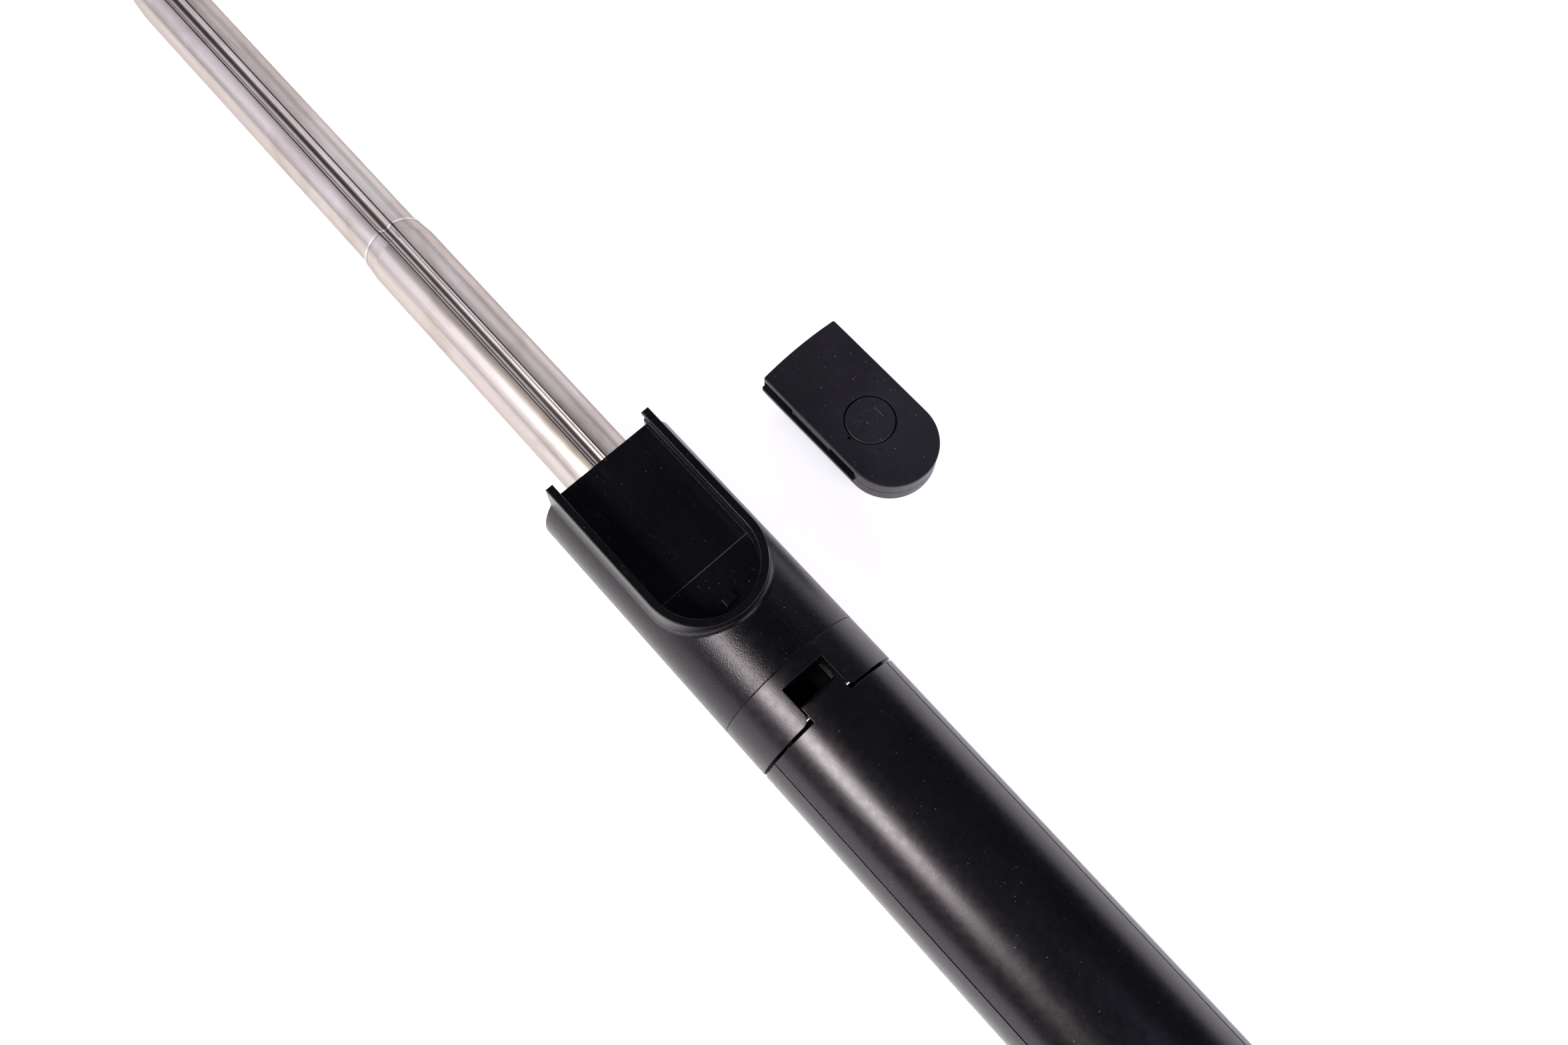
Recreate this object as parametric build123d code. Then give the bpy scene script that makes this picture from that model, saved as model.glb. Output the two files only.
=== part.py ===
from build123d import *
from math import cos, radians, sin
import os

# Selfie stick with fold-out tripod legs, lying on a table with its remote beside it.
# Drawn about the stick's axis: X runs along the stick towards the feet, x = 0 is the hub's lower edge,
# Z is up. At the end everything is moved so that the origin is at the middle of the footprint.

# handle
handle_r = 16.0
handle_end_r = 15.45
hub_x = -10.48
sleeve_end_x = -64.2
foot_end_x = 130.0
foot_length = 9.0
seam_gap = 0.12
shell_wall = 1.8

# telescopic tubes
tube_count = 6
tube_r = 8.36
tube_step = 0.70
tube_wall = 0.25
tube_length = 150.0
groove_depth = 0.95
groove_r = 0.95
groove_r_step = 0.35
groove_corner_r = 0.6
lip_fit = 0.06
crimp_length = 3.6
lip_length = 0.6
guide_length = 12.0
running_fit = 0.05
lip_x = [-64.0, -136.4, -227.0, -263.0, -289.0, -311.0]

# remote dock on the sleeve
dock_half = 12.4
dock_lip_half = 10.75
dock_groove_half = 11.2
dock_rail_half = 10.85
dock_rise = 1.4
dock_lip_height = 1.0
dock_groove_drop = 3.5
dock_rail_drop = 3.9
dock_depth = 6.45
dock_floor_wall = 1.2
dock_floor_step = 0.15
dock_arc_x = -34.5
dock_draft = 3.4
dock_fillet = 1.3
rim_edge = 0.25
catch_x = -27.0
catch_size = (1.8, 2.6, 0.45)

# leg hinges
leg_count = 3
leg_gap = 0.35
leg_inner_r = 9.2
leg_side_wall = 1.5
knuckle_x = 6.0
shoulder_x = 0.66
hinge_x = -0.8
hinge_depth = 1.95
hinge_pin_r = 0.6
hinge_pin_half = 5.9
tongue_half = 4.4
tongue_r = 2.42
notch_half = 4.7
notch_depth = 7.45
lug_corner_r = 1.6
hub_web = 2.88
hub_bore_r = 9.4
spigot_length = 3.1
spigot_inner_r = 10.8
screw_inset = 3.7
screw_r = 0.8
screw_head_r = 1.6
screw_head_height = 1.0
screw_length = 9.0
screw_boss_r = 2.2
seat_ring_r = 10.2
seat_ring_length = 10.0
cap_flange_r = 9.0
cap_flange = 1.5
cap_plug = 3.0
foot_plug = 6.0

# phone clamp head
cap_r = 7.2
cap_grip = 8.0
cap_solid = 4.0
tilt_reach = 9.5
ear_r = 6.4
ear_fit = 0.1
ear_wall = 3.5
tilt_pin_r = 2.0
tilt_head_r = 3.6
tilt_head_height = 1.6
tilt_nut_r = 6.0
tilt_nut_height = 5.0
arm_half = 3.0
arm_length = 43.5
arm_pad_r = 9.0
arm_top_z = 4.5
arm_bottom_z = -4.0
knob_r = 8.5
knob_screw_r = 3.0
knob_flutes = 18
flute_r = 0.8
clamp_half_x = 31.0
clamp_half_y = 9.0
clamp_height = 7.0
clamp_wall = 1.2
clamp_corner_r = 2.0
rest_pad_half_x = 24.0
rest_pad_half_y = 6.5
rest_pad_thickness = 0.7
rest_pad_sink = 0.4
swivel_boss_r = 8.0
swivel_boss_height = 0.8
cover_height = 1.2
jaw_thickness = 5.0
jaw_height = 13.5
jaw_hook = 3.0
jaw_hook_height = 2.5
pad_thickness = 1.5
pad_lift = 0.3
jaw_rod_r = 1.25
jaw_rod_y = 6.0
jaw_rod_length = 40.0
spring_y = 4.2
spring_r = 1.4
spring_wire_r = 0.25
spring_turns = 24
cover_screw_r = 0.9
cover_screw_x = 25.0

# remote
remote_y = 50.4
remote_x = -43.7
remote_length = 39.6
remote_half = 10.27
remote_height = 7.5
remote_bow = 0.5
remote_edge = 0.3
remote_corner_r = 0.5
remote_top_height = 3.8
remote_seam = 0.2
remote_wall = 1.1
remote_floor = 1.0
remote_roof = 1.2
flange_half = 10.95
flange_height = 1.0
flange_drop = 4.0
side_groove_height = 2.3
side_groove_low = 1.0
side_groove_depth = 0.7
side_post_at = (0.33, 0.715)
side_post_width = 0.6
button_x = -40.6
button_r = 5.4
button_gap = 0.3
button_flange = 1.0
button_sink = 0.1
button_travel = 0.45
mark_half = 2.7
mark_low = 1.4
mark_high = 1.65
mark_top = 2.25
mark_lens_r = 0.9
mark_depth = 0.12
led_r = 0.35
led_offset = 6.15
led_slot_half = 0.12
cell_r = 8.0
cell_height = 1.6
cell_x = -52.1
board_margin = 0.4
board_height = 0.8
board_drop = 3.3
clip_height = 0.3
switch_side = 3.4
switch_height = 0.7
plunger_r = 0.9


def yz(x, sketch):
    return Plane.YZ.offset(x) * sketch


def along_x(sketch, x0, x1):
    return extrude(yz(x0, sketch), x1 - x0)


def rod_x(r, x0, x1, y=0, z=0):
    return along_x(Pos(y, z) * Circle(r), x0, x1)


def rod_y(r, y0, y1, x=0, z=0):
    return Pos(x, (y0 + y1) / 2, z) * Rot(90, 0, 0) * Cylinder(r, y1 - y0)


def rod_z(r, z0, z1, x=0, y=0):
    return Pos(x, y, (z0 + z1) / 2) * Cylinder(r, z1 - z0)


def block(x0, x1, y0, y1, z0, z1):
    return Pos((x0 + x1) / 2, (y0 + y1) / 2, (z0 + z1) / 2) * Box(x1 - x0, y1 - y0, z1 - z0)


def u_outline(x0, arc_x, half, bow=0):
    sides = Line((x0, half), (arc_x, half)) + Line((x0, -half), (arc_x, -half))
    tip = ThreePointArc((arc_x, -half), (arc_x + half, 0), (arc_x, half))
    if bow:
        end = ThreePointArc((x0, half), (x0 - bow, 0), (x0, -half))
    else:
        end = Line((x0, half), (x0, -half))
    return make_face(sides + tip + end)


def u_solid(x0, arc_x, half, z0, z1):
    return extrude(Pos(0, 0, z0) * u_outline(x0, arc_x, half), z1 - z0)


def around(shape, count):
    return [Rot(360 * i / count, 0, 0) * shape for i in range(count)]


# telescopic tubes

def contour(i, grow=0):
    r = tube_r - tube_step * i
    notch = groove_r + groove_r_step * i
    profile = Circle(r + grow) - Pos(0, r - groove_depth + notch) * Circle(notch - grow)
    corners = profile.vertices().sort_by(Axis.Y)[-2:]
    return fillet(corners, groove_corner_r + grow)


def telescope_skin(i, grow):
    x0 = lip_x[i]
    neck_x = x0 + lip_length
    shoulder = x0 + lip_length + crimp_length
    body = along_x(contour(i, grow), shoulder, x0 + tube_length)
    if i == tube_count - 1:
        return body + along_x(contour(i, grow), x0, shoulder)
    lip = contour(i + 1, lip_fit + tube_wall + grow)
    crimp = loft([yz(neck_x, lip), yz(shoulder, contour(i, grow))], ruled=True)
    return body + crimp + along_x(lip, x0, neck_x)


def make_tube(i):
    return telescope_skin(i, 0) - telescope_skin(i, -tube_wall)


def make_guide(i):
    x1 = lip_x[i] + tube_length
    outside = contour(i - 1, -tube_wall - running_fit)
    return along_x(outside - contour(i, 0), x1 - guide_length, x1)


def make_tube_end_cap():
    x1 = lip_x[0] + tube_length
    plug = along_x(contour(0, -tube_wall), x1 - cap_plug, x1)
    return plug + rod_x(cap_flange_r, x1, x1 + cap_flange)


# sleeve with the remote's dock

dock_rim_z = handle_r + dock_rise
dock_floor_z = dock_rim_z - dock_depth
hinge_z = handle_r - hinge_depth


def dock_outside():
    rim = Pos(0, 0, dock_rim_z) * u_outline(sleeve_end_x, dock_arc_x, dock_half)
    return extrude(rim, -(dock_rim_z - hub_bore_r), taper=-dock_draft)


def dock_pocket():
    over = dock_rim_z + 1
    side = [(dock_rail_half, dock_floor_z), (dock_rail_half, dock_rim_z - dock_rail_drop),
            (dock_groove_half, dock_rim_z - dock_groove_drop),
            (dock_lip_half, dock_rim_z - dock_lip_height), (dock_lip_half, over)]
    other = [(-y, z) for y, z in reversed(side)]
    straight = along_x(make_face(Polyline(*side, *other, close=True)), sleeve_end_x - 1, dock_arc_x)
    end = rod_z(dock_lip_half, dock_floor_z + dock_floor_step, over, dock_arc_x)
    return straight + end


def screw_spots(r, x0, x1):
    angles = [60 + 360 * i / leg_count for i in range(leg_count)]
    ring_r = handle_r - screw_inset
    spots = [(ring_r * sin(radians(a)), ring_r * cos(radians(a))) for a in angles]
    return [rod_x(r, x0, x1, y, z) for y, z in spots]


def sleeve_hollow():
    bore = rod_x(handle_r - shell_wall, sleeve_end_x + shell_wall, hub_x)
    deck = u_solid(sleeve_end_x, dock_arc_x, dock_half, dock_floor_z - dock_floor_wall, dock_rim_z)
    ring = rod_x(seat_ring_r, sleeve_end_x, sleeve_end_x + seat_ring_length)
    bosses = screw_spots(screw_boss_r, hub_x - screw_length, hub_x - spigot_length)
    return bore - deck - ring - bosses


def make_sleeve():
    end_x = hub_x - seam_gap
    barrel = rod_x(handle_r, sleeve_end_x, end_x)
    dock = dock_outside() & block(sleeve_end_x, end_x, -handle_r, handle_r, 0, dock_rim_z)
    outside = barrel + dock
    joint_edges = [e for e in outside.edges() if on_dock_joint(e)]
    outside = fillet(joint_edges, dock_fillet)
    body = outside - sleeve_hollow() - dock_pocket()
    body -= rod_x(tube_r, sleeve_end_x - 1, end_x)
    body -= screw_spots(screw_r, hub_x - screw_length, end_x)
    rim = [e for e in body.edges() if e.bounding_box().min.Z > dock_rim_z - 0.01]
    body = fillet(rim, rim_edge)
    catch_z = dock_floor_z + dock_floor_step + catch_size[2] / 2
    return body + Pos(catch_x, 0, catch_z) * Box(*catch_size)


def on_dock_joint(edge):
    # the line where the dock's drafted wall meets the round barrel
    box = edge.bounding_box()
    at_end = box.max.X < sleeve_end_x + 0.1
    low = box.min.Z > hub_bore_r and box.max.Z < dock_rim_z - 0.5
    return low and not at_end and box.max.X < hub_x - 1


# hub that carries the legs

def leg_notch():
    z0, z1 = hub_bore_r - 1, handle_r + 1
    slot = block(-notch_depth, 1, -notch_half, notch_half, z0, z1)
    flare_half = notch_half + lug_corner_r
    mouth = block(-lug_corner_r, 1, -flare_half, flare_half, z0, z1)
    for side in (-1, 1):
        mouth -= rod_z(lug_corner_r, z0, z1, -lug_corner_r, side * flare_half)
    return slot + mouth


def make_hub():
    web_x = hub_x + hub_web
    body = rod_x(handle_r, hub_x, 0) - rod_x(hub_bore_r, web_x, 1)
    spigot = rod_x(handle_r - shell_wall, hub_x - spigot_length, hub_x)
    body += spigot - rod_x(spigot_inner_r, hub_x - spigot_length, hub_x)
    body -= rod_x(tube_r, hub_x - spigot_length, web_x)
    pin_hole = rod_y(hinge_pin_r, -hinge_pin_half, hinge_pin_half, hinge_x, hinge_z)
    body -= around(leg_notch(), leg_count)
    body -= around(pin_hole, leg_count)
    body -= screw_spots(screw_r + 0.2, hub_x - spigot_length, 0)
    return body - screw_spots(screw_head_r + 0.2, web_x - screw_head_height, 0)


def make_hinge_pins():
    pin = rod_y(hinge_pin_r, -hinge_pin_half, hinge_pin_half, hinge_x, hinge_z)
    return Compound(children=around(pin, leg_count))


def make_hub_screws():
    head_x = hub_x + hub_web
    seat_x = head_x - screw_head_height
    shanks = screw_spots(screw_r, hub_x - screw_length, seat_x)
    heads = screw_spots(screw_head_r, seat_x, head_x)
    slots = screw_spots(screw_r, head_x - screw_head_height / 2, head_x)
    return Compound(children=[s + h - c for s, h, c in zip(shanks, heads, slots)])


# legs and feet

def wedge(inset, x0, x1):
    # a third of a turn about +Z, its sides moved in by the inset
    reach = 2 * handle_r
    low = inset / sin(radians(180 / leg_count))
    side = reach * sin(radians(180 / leg_count))
    top = reach * cos(radians(180 / leg_count))
    face = make_face(Polyline((0, low), (side, low + top), (side, 3 * reach), (-side, 3 * reach),
                              (-side, low + top), close=True))
    return along_x(face, x0, x1)


def leg_cone(inset):
    length = foot_end_x
    cone = Cone(handle_r - inset, handle_end_r - inset, length)
    front = rod_x(handle_r - inset, -handle_r, 0)
    return front + Pos(length / 2, 0, 0) * Rot(0, 90, 0) * cone


def leg_section(x0, x1):
    section = wedge(leg_gap / 2, x0, x1) & leg_cone(0)
    return section - rod_x(leg_inner_r, x0 - 1, x1 + 1)


def leg_hollow(x0, x1):
    return wedge(leg_gap / 2 + leg_side_wall, x0, x1) & leg_cone(shell_wall)


def tongue():
    barrel = rod_y(tongue_r, -tongue_half, tongue_half, hinge_x, hinge_z)
    root = block(hinge_x, knuckle_x, -tongue_half, tongue_half, hinge_z - tongue_r, hinge_z + tongue_r)
    return (barrel + root) & leg_cone(0)


def make_leg():
    x1 = foot_end_x - foot_length
    body = leg_section(shoulder_x, x1) - leg_hollow(knuckle_x, x1 + 1)
    bore = rod_y(hinge_pin_r + running_fit, -tongue_half - 1, tongue_half + 1, hinge_x, hinge_z)
    return body + tongue() - bore


def make_foot():
    x0 = foot_end_x - foot_length
    pad = leg_section(x0, foot_end_x)
    rounded = fillet(rod_x(handle_r, x0 - 1, foot_end_x).edges().group_by(Axis.X)[-1], foot_length / 4)
    plug = leg_hollow(x0 - foot_plug, x0 + 1) - rod_x(leg_inner_r, x0 - foot_plug - 1, x0 + 1)
    return (pad & rounded) + plug


# phone clamp head on the last tube

ear_inner = arm_half + ear_fit
ear_outer = ear_inner + ear_wall
cap_x = lip_x[-1] - cap_solid
tilt_x = cap_x - tilt_reach
swivel_x = tilt_x - arm_length
back_z = arm_top_z + running_fit + swivel_boss_height
face_z = back_z + clamp_height
knob_bottom_z = -handle_r


def make_rod_cap():
    last = tube_count - 1
    barrel = rod_x(cap_r, cap_x, lip_x[-1] + cap_grip)
    barrel -= along_x(contour(last), lip_x[-1], lip_x[-1] + cap_grip)
    ears = rod_y(ear_r, -ear_outer, ear_outer, tilt_x)
    ears += block(tilt_x, cap_x, -ear_outer, ear_outer, -ear_r, ear_r) & rod_x(cap_r + 1, tilt_x, cap_x)
    ears -= block(tilt_x - ear_r - 1, cap_x - 1, -ear_inner, ear_inner, -cap_r, cap_r)
    return barrel + ears - rod_y(tilt_pin_r, -ear_outer - 1, ear_outer + 1, tilt_x)


def make_tilt_pin():
    shank = rod_y(tilt_pin_r, -ear_outer, ear_outer + tilt_nut_height, tilt_x)
    return shank + rod_y(tilt_head_r, -ear_outer - tilt_head_height, -ear_outer, tilt_x)


def fluted(disc, r, count, axis_shape):
    for i in range(count):
        a = radians(360 * i / count)
        disc -= axis_shape(r * cos(a), r * sin(a))
    return disc


def make_tilt_nut():
    y0 = ear_outer + running_fit
    y1 = ear_outer + tilt_nut_height
    disc = rod_y(tilt_nut_r, y0, y1, tilt_x) - rod_y(tilt_pin_r + running_fit, y0, y1, tilt_x)
    return fluted(disc, tilt_nut_r, 12, lambda u, v: rod_y(flute_r, y0, y1, tilt_x + u, v))


def make_tilt_arm():
    eye = rod_y(ear_r - 0.2, -arm_half, arm_half, tilt_x)
    neck = block(swivel_x, tilt_x, -arm_half, arm_half, arm_bottom_z, arm_top_z)
    wide = block(swivel_x, tilt_x - ear_r - 3, -ear_outer, ear_outer, arm_bottom_z, arm_top_z)
    pad = rod_z(arm_pad_r, arm_bottom_z, arm_top_z, swivel_x)
    body = eye + neck + fillet(wide.edges().filter_by(Axis.Z), 2) + pad
    body -= rod_y(tilt_pin_r + running_fit, -arm_half, arm_half, tilt_x)
    return body - rod_z(knob_screw_r + running_fit, arm_bottom_z, arm_top_z, swivel_x)


def make_swivel_knob():
    top = arm_bottom_z - running_fit
    disc = rod_z(knob_r, knob_bottom_z, top, swivel_x)
    disc = fillet(disc.edges().filter_by(GeomType.CIRCLE), 1)
    disc = fluted(disc, knob_r, knob_flutes, lambda u, v: rod_z(flute_r, knob_bottom_z, top, swivel_x + u, v))
    return disc + rod_z(knob_screw_r, top, back_z + cover_height, swivel_x)


def clamp_inside(z0, z1):
    x = clamp_half_x - clamp_wall
    y = clamp_half_y - clamp_wall
    return block(swivel_x - x, swivel_x + x, -y, y, z0, z1)


def rest_pad_shape(fit=0):
    x = rest_pad_half_x + fit
    y = rest_pad_half_y + fit
    z0 = face_z - rest_pad_sink
    pad = block(swivel_x - x, swivel_x + x, -y, y, z0, z0 + rest_pad_thickness)
    return fillet(pad.edges().filter_by(Axis.Z), clamp_corner_r)


def make_clamp_back():
    z0 = back_z
    body = block(swivel_x - clamp_half_x, swivel_x + clamp_half_x, -clamp_half_y, clamp_half_y, z0, face_z)
    body = fillet(body.edges().filter_by(Axis.Z), clamp_corner_r)
    body -= clamp_inside(z0 - 1, face_z - clamp_wall)
    for side in (-1, 1):
        body += rod_z(2, z0 + cover_height, face_z - clamp_wall, swivel_x + side * cover_screw_x)
        body -= rod_z(cover_screw_r, z0, face_z - clamp_wall, swivel_x + side * cover_screw_x)
    rod_holes = [rod_x(jaw_rod_r + running_fit, swivel_x - clamp_half_x, swivel_x, side * jaw_rod_y, rod_z_level())
                 for side in (-1, 1)]
    return body - rod_holes - rest_pad_shape(running_fit)


def rod_z_level():
    return (back_z + cover_height + face_z - clamp_wall) / 2


def make_clamp_cover():
    plate = clamp_inside(back_z, back_z + cover_height)
    boss = rod_z(swivel_boss_r, back_z - swivel_boss_height, back_z, swivel_x)
    body = plate + boss - rod_z(knob_screw_r + running_fit, back_z - 2, back_z + cover_height, swivel_x)
    for side in (-1, 1):
        body -= rod_z(cover_screw_r, back_z, face_z, swivel_x + side * cover_screw_x)
    return body


def make_cover_screws():
    screws = []
    for side in (-1, 1):
        x = swivel_x + side * cover_screw_x
        shank = rod_z(cover_screw_r, back_z, face_z - clamp_wall - 1, x)
        screws.append(shank + rod_z(2 * cover_screw_r, back_z - 0.6, back_z, x))
    return Compound(children=screws)


def jaw_hook_shape(x0, direction):
    # upright jaw on the clamp's end, with a short hook over the phone's face
    x1 = x0 + direction * jaw_thickness
    top = face_z + jaw_height
    upright = block(min(x0, x1), max(x0, x1), -clamp_half_y, clamp_half_y, back_z, top)
    x2 = x0 - direction * jaw_hook
    hook = block(min(x2, x1), max(x2, x1), -clamp_half_y, clamp_half_y, top - jaw_hook_height, top)
    body = upright + hook
    return fillet(body.edges().filter_by(Axis.X).group_by(Axis.Z)[-1], clamp_corner_r)


def jaw_pad_shape(x0, direction):
    x1 = x0 - direction * pad_thickness
    top = face_z + jaw_height - jaw_hook_height
    pad = block(min(x0, x1), max(x0, x1), -clamp_half_y + 1, clamp_half_y - 1, face_z + pad_lift, top)
    for k in range(-2, 3):
        pad -= rod_z(0.5, face_z, top, x1, k * 3)
    return pad


def make_moving_jaw():
    body = jaw_hook_shape(swivel_x - clamp_half_x, -1)
    return body - jaw_rod_pair(jaw_thickness / 2, 0)


def jaw_rod_pair(outward, inward):
    x = swivel_x - clamp_half_x
    return [rod_x(jaw_rod_r, x - outward, x + inward, side * jaw_rod_y, rod_z_level()) for side in (-1, 1)]


def make_jaw_rods():
    rods = jaw_rod_pair(jaw_thickness / 2, jaw_rod_length)
    x = swivel_x - clamp_half_x + jaw_rod_length
    bridge = block(x, x + 2, -jaw_rod_y - jaw_rod_r, jaw_rod_y + jaw_rod_r,
                   rod_z_level() - jaw_rod_r, rod_z_level() + jaw_rod_r)
    return bridge + rods


def make_jaw_springs():
    # drawn between the bridge of the rods and the closed end of the housing
    x0 = swivel_x - clamp_half_x + jaw_rod_length + 2
    x1 = swivel_x + clamp_half_x - clamp_wall
    length = x1 - x0 - 2 * spring_wire_r
    pitch = length / spring_turns
    coils = []
    for side in (-1, 1):
        path = Helix(pitch, length, spring_r)
        coil = sweep(Plane(path @ 0, z_dir=path % 0) * Circle(spring_wire_r), path)
        coils.append(Pos(x0 + spring_wire_r, side * spring_y, rod_z_level()) * Rot(0, 90, 0) * coil)
    return Compound(children=coils)


# remote, lying on the table beside the stick

remote_x0 = remote_x - remote_length / 2 + remote_bow
remote_arc_x = remote_x + remote_length / 2 - remote_half
remote_z0 = -handle_r
remote_z1 = remote_z0 + remote_height
seam_z = remote_z1 - remote_top_height
board_z = remote_z1 - board_drop - board_height


def remote_u(inset, z0, z1):
    outline = u_outline(remote_x0 + inset, remote_arc_x, remote_half - inset, remote_bow)
    outline = fillet(outline.vertices().sort_by(Axis.X)[:2], remote_corner_r)
    return extrude(Pos(0, 0, z0) * outline, z1 - z0)


def make_remote_top():
    body = remote_u(0, seam_z, remote_z1) - remote_u(remote_wall, seam_z, remote_z1 - remote_roof)
    body = fillet(body.edges().group_by(Axis.Z)[-1], remote_edge)
    body -= rod_z(button_r + button_gap, seam_z, remote_z1 + 1, button_x)
    body -= rod_z(led_r, seam_z, remote_z1 + 1, button_x, -led_offset)
    neck = led_slot_half
    body -= block(button_x - neck, button_x + neck, -led_offset, -button_r, seam_z, remote_z1 + 1)
    return body - side_grooves()


def side_grooves():
    # a low groove between two tall ones, parted by posts
    ends = [remote_x0 + at * (remote_arc_x - remote_x0) for at in (0, *side_post_at, 1)]
    heights = (side_groove_height, side_groove_low, side_groove_height)
    cuts = []
    for side in (-1, 1):
        y0, y1 = sorted((side * (remote_half - side_groove_depth), side * (remote_half + 1)))
        for x0, x1, height in zip(ends, ends[1:], heights):
            x0 += side_post_width / 2
            x1 -= side_post_width / 2
            cuts.append(block(x0, x1, y0, y1, seam_z - 1, seam_z + height))
    return cuts


def make_remote_bottom():
    top = seam_z - remote_seam
    body = remote_u(0, remote_z0, top)
    z1 = remote_z1 - flange_drop
    flange = block(remote_x0, remote_arc_x, -flange_half, flange_half, z1 - flange_height, z1)
    body += fillet(flange.edges().filter_by(Axis.Z).group_by(Axis.X)[0], remote_corner_r)
    lip = remote_u(remote_wall + running_fit, remote_z0, seam_z + side_groove_low)
    body += lip
    body -= remote_u(2 * remote_wall, remote_z0 + remote_floor, remote_z1)
    for x in (remote_x0 + 2 * remote_wall, button_x - 1, remote_arc_x + 3):
        for side in (-1, 1):
            y0, y1 = sorted((side * 6.5, side * 9))
            shelf = block(x, x + 2, y0, y1, remote_z0 + remote_floor, board_z)
            body += shelf & remote_u(remote_wall, remote_z0, board_z)
    return body - rod_z(cell_r + 0.3, remote_z0 + remote_floor, board_z, cell_x)


def make_remote_board():
    inset = 2 * remote_wall + board_margin
    return remote_u(inset, board_z, board_z + board_height)


def make_coin_cell():
    z0 = remote_z0 + remote_floor
    return fillet(rod_z(cell_r, z0, z0 + cell_height, cell_x).edges().filter_by(GeomType.CIRCLE), 0.2)


def make_battery_clip():
    z0 = remote_z0 + remote_floor + cell_height
    strap = block(cell_x - 2, cell_x + 2, -cell_r + 1, cell_r - 1, z0, z0 + clip_height)
    for side in (-1, 1):
        y0, y1 = sorted((side * (cell_r - 1.5), side * (cell_r - 1)))
        strap += block(cell_x - 2, cell_x + 2, y0, y1, z0, board_z)
    return strap


def make_tact_switch():
    z0 = board_z + board_height
    half = switch_side / 2
    body = block(button_x - half, button_x + half, -half, half, z0, z0 + switch_height)
    return body + rod_z(plunger_r, z0, button_bottom() - button_travel, button_x)


def button_bottom():
    return remote_z1 - remote_roof - 0.1 - button_flange / 2


def button_mark():
    # a plain camera shape, sunk into the button around a round lens
    half, step, peak = mark_half, mark_half / 2, mark_half / 3
    outline = make_face(Polyline((mark_low, -half), (mark_low, half), (-mark_high, half), (-mark_high, step),
                                 (-mark_top, peak), (-mark_top, -peak), (-mark_high, -step),
                                 (-mark_high, -half), close=True))
    sunk = Pos(button_x, 0, remote_z1 - button_sink - mark_depth) * (outline - Circle(mark_lens_r))
    return extrude(sunk, 2 * mark_depth)


def make_shutter_button():
    cap = rod_z(button_r, button_bottom(), remote_z1 - button_sink, button_x)
    flange = rod_z(button_r + button_flange, button_bottom(), button_bottom() + button_flange / 2, button_x)
    body = cap + flange
    top_edge = body.edges().group_by(Axis.Z)[-1]
    return fillet(top_edge, remote_edge) - button_mark()


# all pieces by name

pieces = {
    "sleeve": make_sleeve(),
    "leg_hub": make_hub(),
    "hinge_pins": make_hinge_pins(),
    "hub_screws": make_hub_screws(),
    "fixed_tube": make_tube(0),
    "tube_end_cap": make_tube_end_cap(),
    "rod_cap": make_rod_cap(),
    "tilt_pin": make_tilt_pin(),
    "tilt_nut": make_tilt_nut(),
    "tilt_arm": make_tilt_arm(),
    "swivel_knob": make_swivel_knob(),
    "clamp_back": make_clamp_back(),
    "clamp_cover": make_clamp_cover(),
    "cover_screws": make_cover_screws(),
    "rest_pad": rest_pad_shape(),
    "fixed_jaw": jaw_hook_shape(swivel_x + clamp_half_x, 1),
    "fixed_pad": jaw_pad_shape(swivel_x + clamp_half_x, 1),
    "moving_jaw": make_moving_jaw(),
    "moving_pad": jaw_pad_shape(swivel_x - clamp_half_x, -1),
    "jaw_rods": make_jaw_rods(),
    "jaw_springs": make_jaw_springs(),
}
for i in range(1, tube_count):
    pieces[f"tube_{i}"] = make_tube(i)
    pieces[f"guide_{i}"] = make_guide(i)
legs = around(make_leg(), leg_count)
feet = around(make_foot(), leg_count)
for name, leg, foot in zip(("top", "left", "right"), legs, feet):
    pieces[f"leg_{name}"] = leg
    pieces[f"foot_{name}"] = foot
remote = {
    "remote_top": make_remote_top(),
    "remote_bottom": make_remote_bottom(),
    "remote_board": make_remote_board(),
    "coin_cell": make_coin_cell(),
    "battery_clip": make_battery_clip(),
    "tact_switch": make_tact_switch(),
    "shutter_button": make_shutter_button(),
}
for name, shape in remote.items():
    pieces[name] = Pos(0, remote_y, 0) * shape

# the origin goes to the middle of the footprint, on the table
head_end_x = swivel_x - clamp_half_x - jaw_thickness
middle_x = (foot_end_x + head_end_x) / 2
middle_y = (remote_y + flange_half - handle_r) / 2
os.makedirs("parts", exist_ok=True)
for name, shape in pieces.items():
    export_step(Pos(-middle_x, -middle_y, handle_r) * shape, f"parts/{name}.step")
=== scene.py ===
import bpy
from mathutils import Matrix, Vector

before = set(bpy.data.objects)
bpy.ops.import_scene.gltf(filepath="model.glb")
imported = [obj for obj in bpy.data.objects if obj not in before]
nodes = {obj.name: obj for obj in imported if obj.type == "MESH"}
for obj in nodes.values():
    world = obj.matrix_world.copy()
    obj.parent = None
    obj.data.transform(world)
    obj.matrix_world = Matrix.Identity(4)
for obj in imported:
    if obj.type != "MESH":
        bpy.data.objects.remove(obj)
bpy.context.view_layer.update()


# camera: fitted to the photograph by least squares, in metres and in the shared frame

CAMERA_PLACE = (0.157499, -0.051968, 0.24461)
CAMERA_RIGHT = (0.67180, 0.74073, -0.00112)
CAMERA_DOWN = (0.70514, -0.63999, -0.30528)
CAMERA_VIEW = (-0.22685, 0.20430, -0.95226)
SENSOR_WIDTH_MM = 36.0
LENS_MM = 27.796
CLIP_START = 0.01


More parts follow.
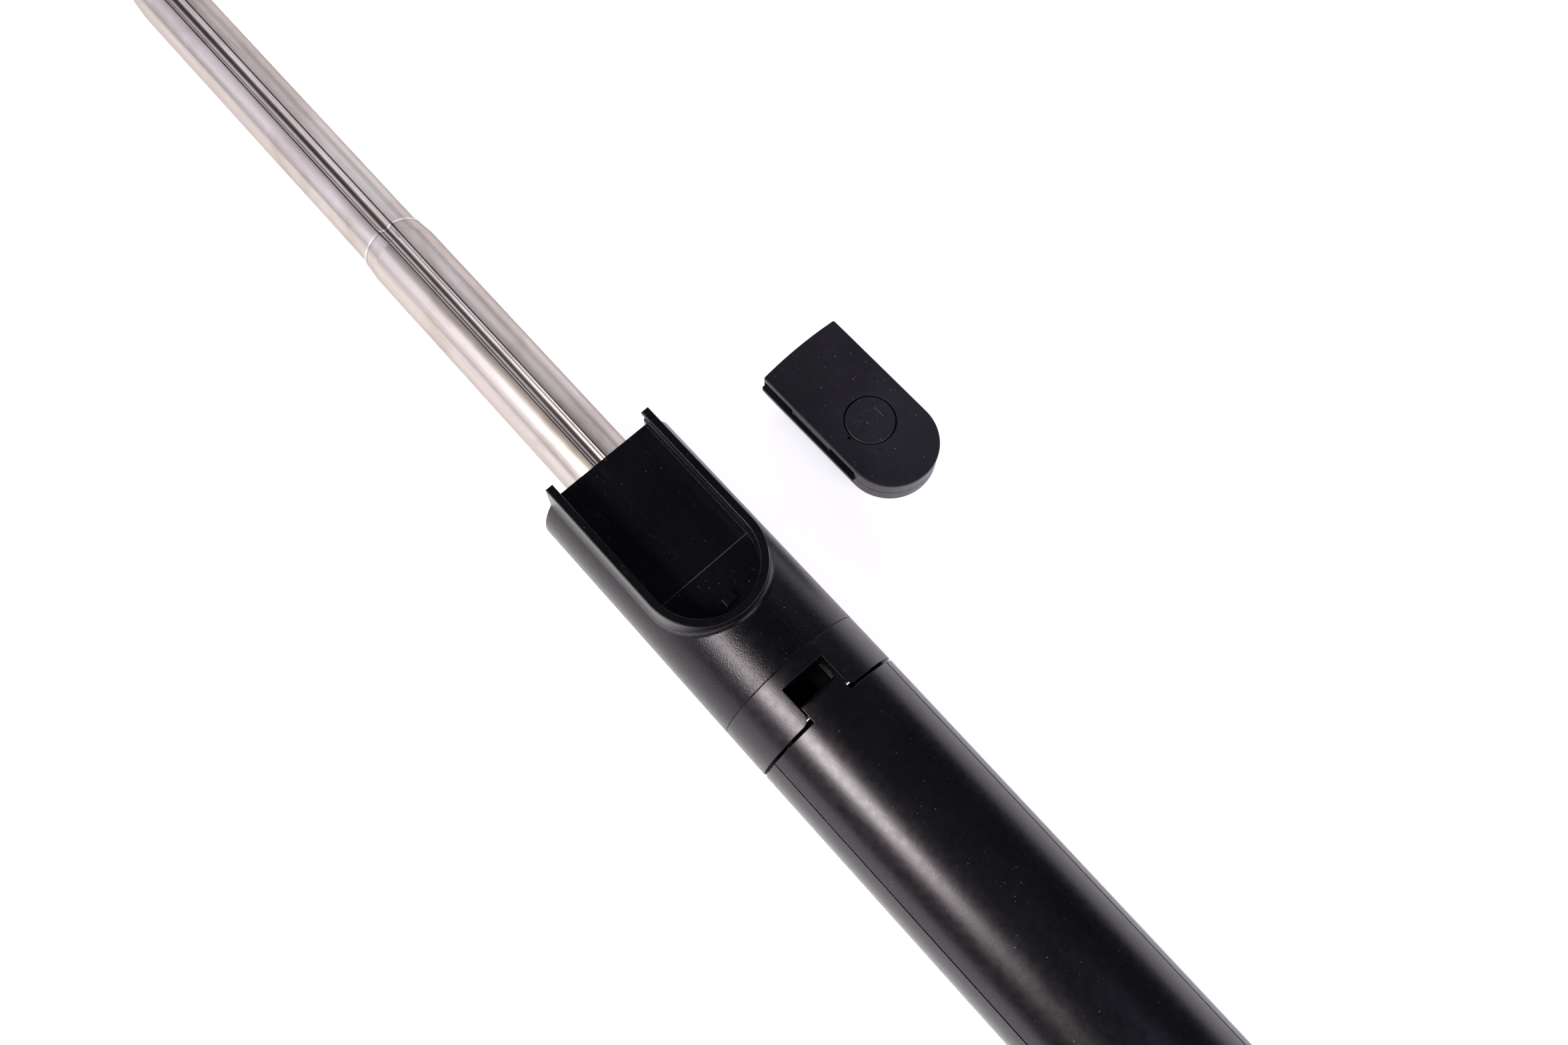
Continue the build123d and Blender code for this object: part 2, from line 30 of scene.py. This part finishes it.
def make_camera():
    data = bpy.data.cameras.new("camera")
    data.sensor_width = SENSOR_WIDTH_MM
    data.lens = LENS_MM
    data.clip_start = CLIP_START
    camera = bpy.data.objects.new("camera", data)
    bpy.context.collection.objects.link(camera)
    right, down, view = Vector(CAMERA_RIGHT), Vector(CAMERA_DOWN), Vector(CAMERA_VIEW)
    turn = Matrix((right, -down, -view)).transposed().to_4x4()
    camera.matrix_world = Matrix.Translation(CAMERA_PLACE) @ turn
    bpy.context.scene.camera = camera


# materials

MIX_MASK, MIX_A, MIX_B = 0, 6, 7    # the colour inputs of Blender's Mix node
MIX_COLOR = 2                       # and its colour output

PLASTIC_TINT = (0.9, 0.85, 1.0, 1.0)
PLASTIC_EDGE = 0.00018              # radius that the light sees on moulded edges, metres
BEVEL_SAMPLES = 6
BLUER, LESS_GREEN = 1.35, 0.95      # the violet cast of the black, against its red
DUST = (0.5, 0.5, 0.55)
SCRATCH = (0.6, 0.58, 0.6)
SCRATCH_COVER = 0.012

# the painted highlight along the edge of the step across the dock's floor: its place, its width
# and height, and its colour
DOCK_STEP_X, DOCK_FLOOR_Z = 0.1025, 0.0271
STEP_HALF_WIDTH, STEP_HALF_HEIGHT = 0.00007, 0.0003
STEP_HIGHLIGHT_COLOR = (0.12, 0.12, 0.13)

TUBE_COUNT = 5
TUBE_COLOR = (0.57, 0.535, 0.515)
TUBE_ROUGH = 0.3
TUBE_TINT = (0.62, 0.58, 0.58, 1)
TUBE_EDGE = 0.00015
# painted highlight on each tube's lip, and a thin painted shade just behind it
LIP_HIGHLIGHT_WIDTH, LIP_HIGHLIGHT_COLOR = 0.0006, (0.68, 0.65, 0.65)
LIP_SHADE_WIDTH, LIP_SHADE = 0.001, (0.36, 0.33, 0.32)
STAIN = [
    (0.42, (1, 1, 1)),
    (0.50, (0.84, 0.79, 0.77)),
    (0.56, (0.97, 0.95, 0.94)),
    (0.66, (0.89, 0.86, 0.86)),
]


class Paint:
    """A material with its nodes close at hand."""

    def __init__(self, name, color, rough, metallic=0.0, specular=0.5):
        self.material = bpy.data.materials.new(name)
        self.material.use_nodes = True
        self.tree = self.material.node_tree
        self.shader = self.tree.nodes["Principled BSDF"]
        self.set("Base Color", (*color, 1.0))
        self.set("Roughness", rough)
        self.set("Metallic", metallic)
        self.set("Specular IOR Level", specular)
        self.coords = self.node("ShaderNodeTexCoord").outputs["Object"]
        self.normal = None

    def set(self, socket, value):
        self.shader.inputs[socket].default_value = value

    def node(self, kind, **values):
        """A new node. Each value goes to the input of that name, or else to the node itself."""
        made = self.tree.nodes.new(kind)
        for key, value in values.items():
            if key in made.inputs:
                made.inputs[key].default_value = value
            else:
                setattr(made, key, value)
        return made

    def math(self, operation):
        return self.node("ShaderNodeMath", operation=operation)

    def link(self, a, b):
        self.tree.links.new(a, b)

    def place(self):
        """The point on the piece, split into X, Y and Z."""
        split = self.node("ShaderNodeSeparateXYZ")
        self.link(self.coords, split.inputs[0])
        return split.outputs

    def noise(self, scale, detail, stretch=(1, 1, 1), rough=0.5, turn=0.0):
        mapping = self.node("ShaderNodeMapping")
        mapping.inputs["Scale"].default_value = stretch
        mapping.inputs["Rotation"].default_value = (0, 0, turn)
        self.link(self.coords, mapping.inputs["Vector"])
        noise = self.node("ShaderNodeTexNoise", Scale=scale, Detail=detail, Roughness=rough)
        self.link(mapping.outputs["Vector"], noise.inputs["Vector"])
        return noise.outputs["Fac"]

    def ramp(self, value, stops):
        ramp = self.node("ShaderNodeValToRGB")
        points = ramp.color_ramp.elements
        while len(points) < len(stops):
            points.new(0.5)
        for point, (position, color) in zip(points, stops):
            point.position = position
            point.color = (*color, 1.0)
        self.link(value, ramp.inputs["Fac"])
        return ramp.outputs["Color"]

    def grey(self, value, low, high, x0=0.35, x1=0.65):
        return self.ramp(value, [(x0, (low,) * 3), (x1, (high,) * 3)])

    def over(self, base, mask, color):
        """A colour laid over the base where the mask is white."""
        mix = self.node("ShaderNodeMix", data_type="RGBA")
        self.link(mask, mix.inputs[MIX_MASK])
        self.link(base, mix.inputs[MIX_A])
        mix.inputs[MIX_B].default_value = (*color, 1.0)
        return mix.outputs[MIX_COLOR]

    def times(self, a, b):
        mix = self.node("ShaderNodeMix", data_type="RGBA", blend_type="MULTIPLY")
        mix.inputs[MIX_MASK].default_value = 1.0
        self.link(a, mix.inputs[MIX_A])
        self.link(b, mix.inputs[MIX_B])
        return mix.outputs[MIX_COLOR]

    def drive(self, socket, output):
        self.link(output, self.shader.inputs[socket])

    def face(self, normal):
        self.normal = normal
        self.drive("Normal", normal)

    def soften_edges(self, radius):
        bevel = self.node("ShaderNodeBevel", Radius=radius)
        bevel.samples = BEVEL_SAMPLES
        self.face(bevel.outputs["Normal"])

    def bump(self, value, strength, distance):
        bump = self.node("ShaderNodeBump", Strength=strength, Distance=distance)
        self.link(value, bump.inputs["Height"])
        if self.normal is not None:
            self.link(self.normal, bump.inputs["Normal"])
        self.face(bump.outputs["Normal"])


def violet_black(level):
    return (level, level * LESS_GREEN, level * BLUER)


def black_plastic(name, level, rough, grain, depth, dust=0.0, scratched=False, shine=0.5):
    """Moulded black: level is its red, grain the scale and depth the height of its surface."""
    paint = Paint(name, (level, level, level * BLUER), rough, specular=shine)
    paint.set("Specular Tint", PLASTIC_TINT)
    low, high = violet_black(level * 0.75), violet_black(level * 1.35)
    tone = paint.ramp(paint.noise(60, 4), [(0.35, low), (0.65, high)])
    if dust:
        specks = paint.grey(paint.noise(2600, 1), 0.0, dust, 0.775, 0.8)
        tone = paint.over(tone, specks, DUST)
    if scratched:
        lines = paint.noise(260, 2, stretch=(0.05, 1, 1), turn=0.5)
        clear, cover = (0,) * 3, (SCRATCH_COVER,) * 3
        thin = paint.ramp(lines, [(0.496, clear), (0.5, cover), (0.504, clear)])
        tone = paint.over(tone, thin, SCRATCH)
    paint.drive("Base Color", tone)
    paint.drive("Roughness", paint.grey(paint.noise(700, 4), rough - 0.02, rough + 0.03))
    paint.soften_edges(PLASTIC_EDGE)
    paint.bump(paint.noise(grain, 2), 0.35, depth)
    return paint


def painted_step_highlight(paint):
    """A painted highlight along the edge of the small step across the dock's floor."""
    place = paint.place()
    line = paint.math("MULTIPLY")
    bands = (("X", DOCK_STEP_X, STEP_HALF_WIDTH), ("Z", DOCK_FLOOR_Z, STEP_HALF_HEIGHT))
    for i, (axis, middle, reach) in enumerate(bands):
        near = paint.math("COMPARE")
        paint.link(place[axis], near.inputs[0])
        near.inputs[1].default_value = middle
        near.inputs[2].default_value = reach
        paint.link(near.outputs[0], line.inputs[i])
    base = paint.shader.inputs["Base Color"].links[0].from_socket
    paint.drive("Base Color", paint.over(base, line.outputs[0], STEP_HIGHLIGHT_COLOR))


def beyond(paint, x):
    """White where the piece reaches past x, towards the head."""
    less = paint.math("LESS_THAN")
    paint.link(paint.place()["X"], less.inputs[0])
    less.inputs[1].default_value = x
    return less.outputs[0]


def tube_steel(name, lip):
    """Brushed, stained steel, with a painted highlight on the lip and a thin painted shade
    behind it. lip is its x.
    """
    paint = Paint(name, TUBE_COLOR, TUBE_ROUGH, metallic=1.0)
    streak = paint.noise(2600, 3, stretch=(0.012, 1, 1), rough=0.6)
    stain = paint.noise(36, 7, stretch=(0.5, 1, 1), rough=0.62)
    dark = tuple(c * 0.86 for c in TUBE_COLOR)
    light = tuple(c * 1.06 for c in TUBE_COLOR)
    tone = paint.times(paint.ramp(streak, [(0.3, dark), (0.7, light)]), paint.ramp(stain, STAIN))
    # painted shade just behind the lip
    tone = paint.over(tone, beyond(paint, lip + LIP_SHADE_WIDTH), LIP_SHADE)
    # painted highlight on the lip
    tone = paint.over(tone, beyond(paint, lip + LIP_HIGHLIGHT_WIDTH), LIP_HIGHLIGHT_COLOR)
    paint.drive("Base Color", tone)
    uneven = paint.noise(90, 5, stretch=(0.35, 1, 1))
    paint.drive("Roughness", paint.grey(uneven, TUBE_ROUGH - 0.02, TUBE_ROUGH + 0.04))
    paint.set("Specular Tint", TUBE_TINT)
    paint.soften_edges(TUBE_EDGE)
    paint.bump(streak, 0.04, 0.00002)
    return paint


def plain_steel(name, rough):
    paint = Paint(name, (0.72, 0.71, 0.69), rough, metallic=1.0)
    paint.drive("Roughness", paint.grey(paint.noise(900, 4), rough - 0.06, rough + 0.1))
    paint.bump(paint.noise(1500, 3), 0.08, 0.00002)
    return paint


def circuit_green():
    paint = Paint("board_green", (0.02, 0.12, 0.05), 0.3)
    stops = [(0.48, (0.015, 0.1, 0.04)), (0.52, (0.03, 0.17, 0.07))]
    paint.drive("Base Color", paint.ramp(paint.noise(500, 1), stops))
    return paint


def coat(paint, *names):
    for name in names:
        piece = nodes[name]
        if not piece.data.materials:
            piece.data.materials.append(paint.material)
        for slot in piece.material_slots:
            slot.material = paint.material


def dress():
    sleeve = black_plastic("sleeve_grain", level=0.0022, rough=0.3, grain=3400, depth=0.00012,
                           dust=0.5, scratched=True, shine=0.34)
    # painted highlight along the step across the dock's floor
    painted_step_highlight(sleeve)
    satin = black_plastic("leg_satin", level=0.003, rough=0.28, grain=2600, depth=0.000018,
                          dust=0.35)
    hub = black_plastic("hub_satin", level=0.003, rough=0.31, grain=3000, depth=0.00004,
                        dust=0.35, shine=0.46)
    head = black_plastic("head_matt", level=0.008, rough=0.46, grain=3600, depth=0.00004)
    remote = black_plastic("remote_satin", level=0.0115, rough=0.42, grain=4200, depth=0.00003,
                           dust=0.5)
    rubber = black_plastic("rubber", level=0.014, rough=0.72, grain=2200, depth=0.00006)
    nylon = black_plastic("nylon", level=0.02, rough=0.5, grain=1800, depth=0.00002)
    # the fixed tube, seen only through the hub's notch, gets the darkest and most matte black:
    # painted shade for the notch's dark inside
    black_tube = black_plastic("tube_black", level=0.0012, rough=0.85, grain=2600, depth=0.00002)
    bright = plain_steel("bright_steel", 0.2)
    coat(sleeve, "sleeve")
    coat(hub, "leg_hub")
    coat(satin, "leg_top", "leg_left", "leg_right")
    coat(rubber, "foot_top", "foot_left", "foot_right", "fixed_pad", "moving_pad", "rest_pad")
    coat(head, "rod_cap", "tilt_nut", "tilt_arm", "swivel_knob", "clamp_back", "clamp_cover",
         "fixed_jaw", "moving_jaw")
    coat(remote, "remote_top", "remote_bottom", "shutter_button")
    coat(nylon, "tube_end_cap", "guide_1", "guide_2", "guide_3", "guide_4", "guide_5",
         "tact_switch")
    # painted shade: the fixed tube is made near-black for the dark inside of the hub's notch
    coat(black_tube, "fixed_tube")
    for i in range(1, TUBE_COUNT + 1):
        tube = f"tube_{i}"
        lip = min(v.co.x for v in nodes[tube].data.vertices)
        coat(tube_steel(f"tube_steel_{i}", lip), tube)
    coat(bright, "hinge_pins", "hub_screws", "tilt_pin", "cover_screws", "jaw_rods",
         "jaw_springs", "coin_cell", "battery_clip")
    coat(circuit_green(), "remote_board")


# floor and light

FLOOR_SIZE = 30
FLOOR_GLOW = 0.78
FLOOR_GLOW_COLOR = (0.98, 0.96, 1, 1)
ROOM_COLOR = (0.85, 0.85, 1, 1)
ROOM_STRENGTH = 0.045
LIT_POINT = (0.1, -0.02, 0)

# name, place in metres, width and height, watts, colour
LAMPS = [
    ("key", (0.035, -0.68, 0.635), (0.38, 0.26), 9, (1, 0.95, 0.84)),
    ("left_panel", (-0.8, -1.05, 0.62), (1.4, 0.9), 5.8, (0.9, 0.87, 1)),
    ("right_panel", (-0.75, 1.05, 0.6), (1.0, 0.9), 3.5, (0.96, 0.93, 1)),
    ("front_panel", (1.1, 0.2, 0.9), (1.0, 0.8), 8.2, (0.88, 0.84, 1)),
]


def make_floor():
    """A pale floor that glows for the camera, mirrors and glass only, and keeps its shadow."""
    bpy.ops.mesh.primitive_plane_add(size=FLOOR_SIZE, location=(0, 0, 0))
    floor = bpy.context.object
    floor.name = "floor"
    paint = Paint("floor_white", (0.8, 0.8, 0.8), 0.9, specular=0.0)
    rays = paint.node("ShaderNodeLightPath").outputs
    seen = rays["Is Camera Ray"]
    for other in ("Is Glossy Ray", "Is Transmission Ray"):
        either = paint.math("MAXIMUM")
        paint.link(seen, either.inputs[0])
        paint.link(rays[other], either.inputs[1])
        seen = either.outputs[0]
    glow = paint.math("MULTIPLY")
    glow.inputs[1].default_value = FLOOR_GLOW
    paint.link(seen, glow.inputs[0])
    paint.set("Emission Color", FLOOR_GLOW_COLOR)
    paint.drive("Emission Strength", glow.outputs[0])
    floor.data.materials.append(paint.material)


def make_lamp(name, place, size, watts, color):
    data = bpy.data.lights.new(name, "AREA")
    data.shape = "RECTANGLE"
    data.size, data.size_y = size
    data.energy = watts
    data.color = color
    light = bpy.data.objects.new(name, data)
    bpy.context.collection.objects.link(light)
    light.location = place
    aim = Vector(LIT_POINT) - Vector(place)
    light.rotation_euler = aim.to_track_quat("-Z", "Y").to_euler()


def make_light():
    world = bpy.data.worlds.new("room")
    world.use_nodes = True
    room = world.node_tree.nodes["Background"].inputs
    room["Color"].default_value = ROOM_COLOR
    room["Strength"].default_value = ROOM_STRENGTH
    bpy.context.scene.world = world
    for lamp in LAMPS:
        make_lamp(*lamp)


make_camera()
dress()
make_floor()
make_light()
bpy.context.scene.view_settings.view_transform = "Standard"
